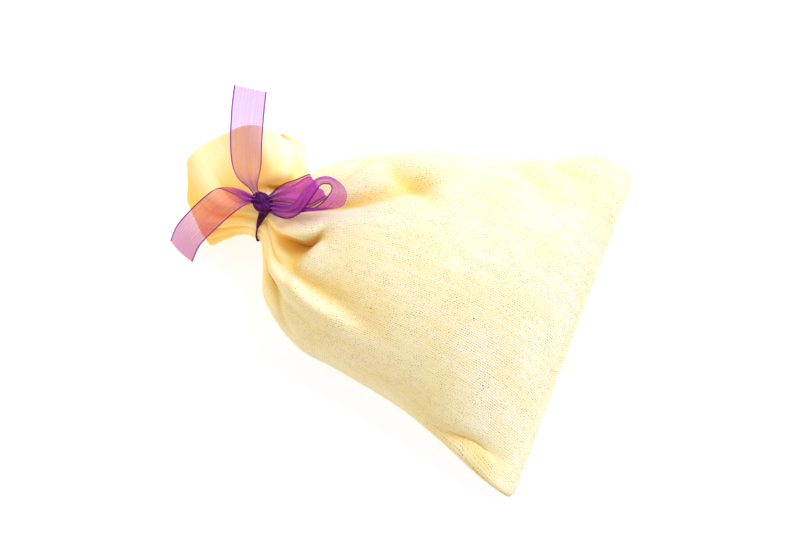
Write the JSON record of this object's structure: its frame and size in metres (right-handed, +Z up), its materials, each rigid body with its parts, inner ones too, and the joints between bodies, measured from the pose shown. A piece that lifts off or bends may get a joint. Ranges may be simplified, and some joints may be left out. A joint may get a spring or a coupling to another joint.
{
  "type": "fabric pouch",
  "caption": "Small stuffed cotton muslin pouch lying on its back, its neck gathered into a fan-shaped frill and tied with a translucent organza ribbon bow.",
  "frame": {"origin": "middle of the pouch's outline on the surface that it lies on", "axes": "+X along the pouch from the frill to the sewn bottom edge, +Y across it to the far side, +Z up"},
  "size_m": [0.1232, 0.109, 0.05],
  "materials": {
    "muslin": "matt open plain weave, unbleached cotton",
    "organza": "sheer satin-edged weave"
  },
  "bodies": {
    "root": {"bag": "muslin", "ribbon_wrap": "organza", "ribbon_knot": "organza", "ribbon_loop_flat": "organza", "ribbon_loop_round": "organza", "ribbon_tail_up": "organza", "ribbon_tail_low": "organza"}
  },
  "joints": []
}
